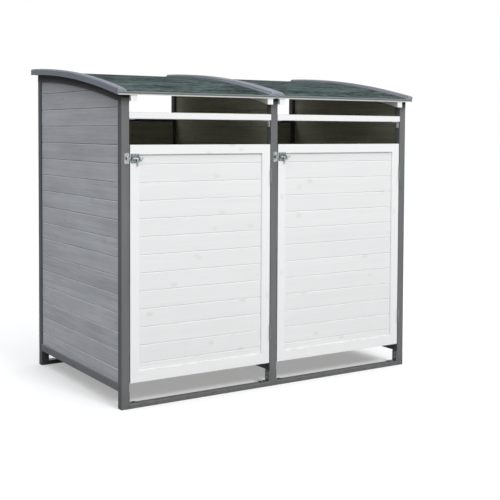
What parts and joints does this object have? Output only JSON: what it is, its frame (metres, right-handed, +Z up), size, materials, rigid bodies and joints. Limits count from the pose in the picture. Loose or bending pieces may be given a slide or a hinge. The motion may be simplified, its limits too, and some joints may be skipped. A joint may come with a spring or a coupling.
{
  "type": "bin store",
  "caption": "Painted timber store for wheeled bins: board walls, curved felted roof with bent capping battens, and framed doors that swing out and shut with barrel bolts.",
  "frame": {"origin": "on the ground under the middle of the store's bounding box", "axes": "+X to the right seen from the front, +Y to the rear, +Z up; the doors face -Y"},
  "size_m": [1.55, 0.9772, 1.4224],
  "materials": {
    "post_grey": "opaque grey paint, satin",
    "rail_grey": "opaque dark grey paint, satin",
    "board_grey": "opaque grey paint, satin",
    "cap_grey": "opaque grey paint, satin",
    "white_paint": "opaque white paint, satin",
    "threshold_grey": "opaque grey paint, worn",
    "deck_timber": "sawn softwood, pale stain",
    "roof_felt": "green mineral granules, matt",
    "zinc_steel": "bright zinc plate"
  },
  "bodies": {
    "store_frame": {"left_front_post": "post_grey", "left_rear_post": "post_grey", "left_bottom_rail": "post_grey", "left_top_rail": "rail_grey", "left_wall_boards": "board_grey", "left_roof_cap": "cap_grey", "middle_front_post": "post_grey", "middle_rear_post": "post_grey", "middle_bottom_rail": "post_grey", "middle_top_rail": "rail_grey", "middle_wall_boards": "board_grey", "middle_roof_cap": "cap_grey", "right_front_post": "post_grey", "right_rear_post": "post_grey", "right_bottom_rail": "post_grey", "right_top_rail": "rail_grey", "right_wall_boards": "board_grey", "right_roof_cap": "cap_grey", "left_rear_bottom_rail": "post_grey", "left_rear_top_rail": "post_grey", "left_rear_boards": "board_grey", "left_front_threshold": "threshold_grey", "left_rear_threshold": "threshold_grey", "left_crossbar": "white_paint", "left_bay_left_rafter": "white_paint", "left_bay_right_rafter": "white_paint", "left_deck_boards": "deck_timber", "left_roof_felt": "roof_felt", "left_bolt_keeper": "zinc_steel", "right_rear_bottom_rail": "post_grey", "right_rear_top_rail": "post_grey", "right_rear_boards": "board_grey", "right_front_threshold": "threshold_grey", "right_rear_threshold": "threshold_grey", "right_crossbar": "white_paint", "right_bay_left_rafter": "white_paint", "right_bay_right_rafter": "white_paint", "right_deck_boards": "deck_timber", "right_roof_felt": "roof_felt", "right_bolt_keeper": "zinc_steel", "roof_seam_batten": "cap_grey", "threshold_angles": "zinc_steel", "crossbar_angles": "zinc_steel", "post_hinge_leaves": "zinc_steel"},
    "left_door": {"left_door_hinge_stile": "white_paint", "left_door_latch_stile": "white_paint", "left_door_top_rail": "white_paint", "left_door_bottom_rail": "white_paint", "left_door_boards": "white_paint", "left_door_hinge_leaves": "zinc_steel", "left_bolt_plate": "zinc_steel"},
    "right_door": {"right_door_hinge_stile": "white_paint", "right_door_latch_stile": "white_paint", "right_door_top_rail": "white_paint", "right_door_bottom_rail": "white_paint", "right_door_boards": "white_paint", "right_door_hinge_leaves": "zinc_steel", "right_bolt_plate": "zinc_steel"},
    "left_bolt": {"left_bolt_rod": "zinc_steel"},
    "right_bolt": {"right_bolt_rod": "zinc_steel"}
  },
  "joints": [
    {"name": "left_door_swing", "type": "hinge", "parent": "store_frame", "child": "left_door", "pos_m": [-0.0315, -0.47121, 0.591], "axis": [0, 0, 1], "range_deg": [0, 110]},
    {"name": "right_door_swing", "type": "hinge", "parent": "store_frame", "child": "right_door", "pos_m": [0.713, -0.47121, 0.591], "axis": [0, 0, 1], "range_deg": [0, 110]},
    {"name": "left_bolt_slide", "type": "slide", "parent": "left_door", "child": "left_bolt", "axis": [-1, 0, 0], "range_m": [0, 0.018]},
    {"name": "right_bolt_slide", "type": "slide", "parent": "right_door", "child": "right_bolt", "axis": [-1, 0, 0], "range_m": [0, 0.018]}
  ]
}
